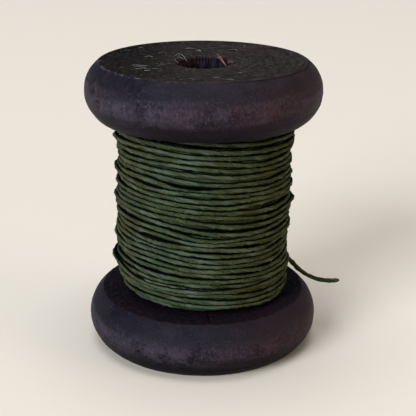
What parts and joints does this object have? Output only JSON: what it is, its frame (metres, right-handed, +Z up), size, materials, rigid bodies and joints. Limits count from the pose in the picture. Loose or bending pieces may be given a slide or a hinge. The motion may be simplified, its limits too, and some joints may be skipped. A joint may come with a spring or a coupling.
{
  "type": "thread spool",
  "caption": "Turned wooden spool with fat rounded flanges, wound with twisted dark green thread whose free end hangs over the lower rim; a bore runs through it.",
  "frame": {"origin": "on the spool's axis, at the height of the ring it stands on", "axes": "+Z up along the bore; the thread's free end leaves towards +X"},
  "size_m": [0.0563, 0.05, 0.062],
  "materials": {
    "dyed_wood": "satin",
    "barrel_wood": "rough",
    "thread": "matte"
  },
  "bodies": {
    "root": {"bottom_flange": "dyed_wood", "top_flange": "dyed_wood", "barrel": "barrel_wood", "thread_winding": "thread", "thread_tail": "thread"}
  },
  "joints": []
}
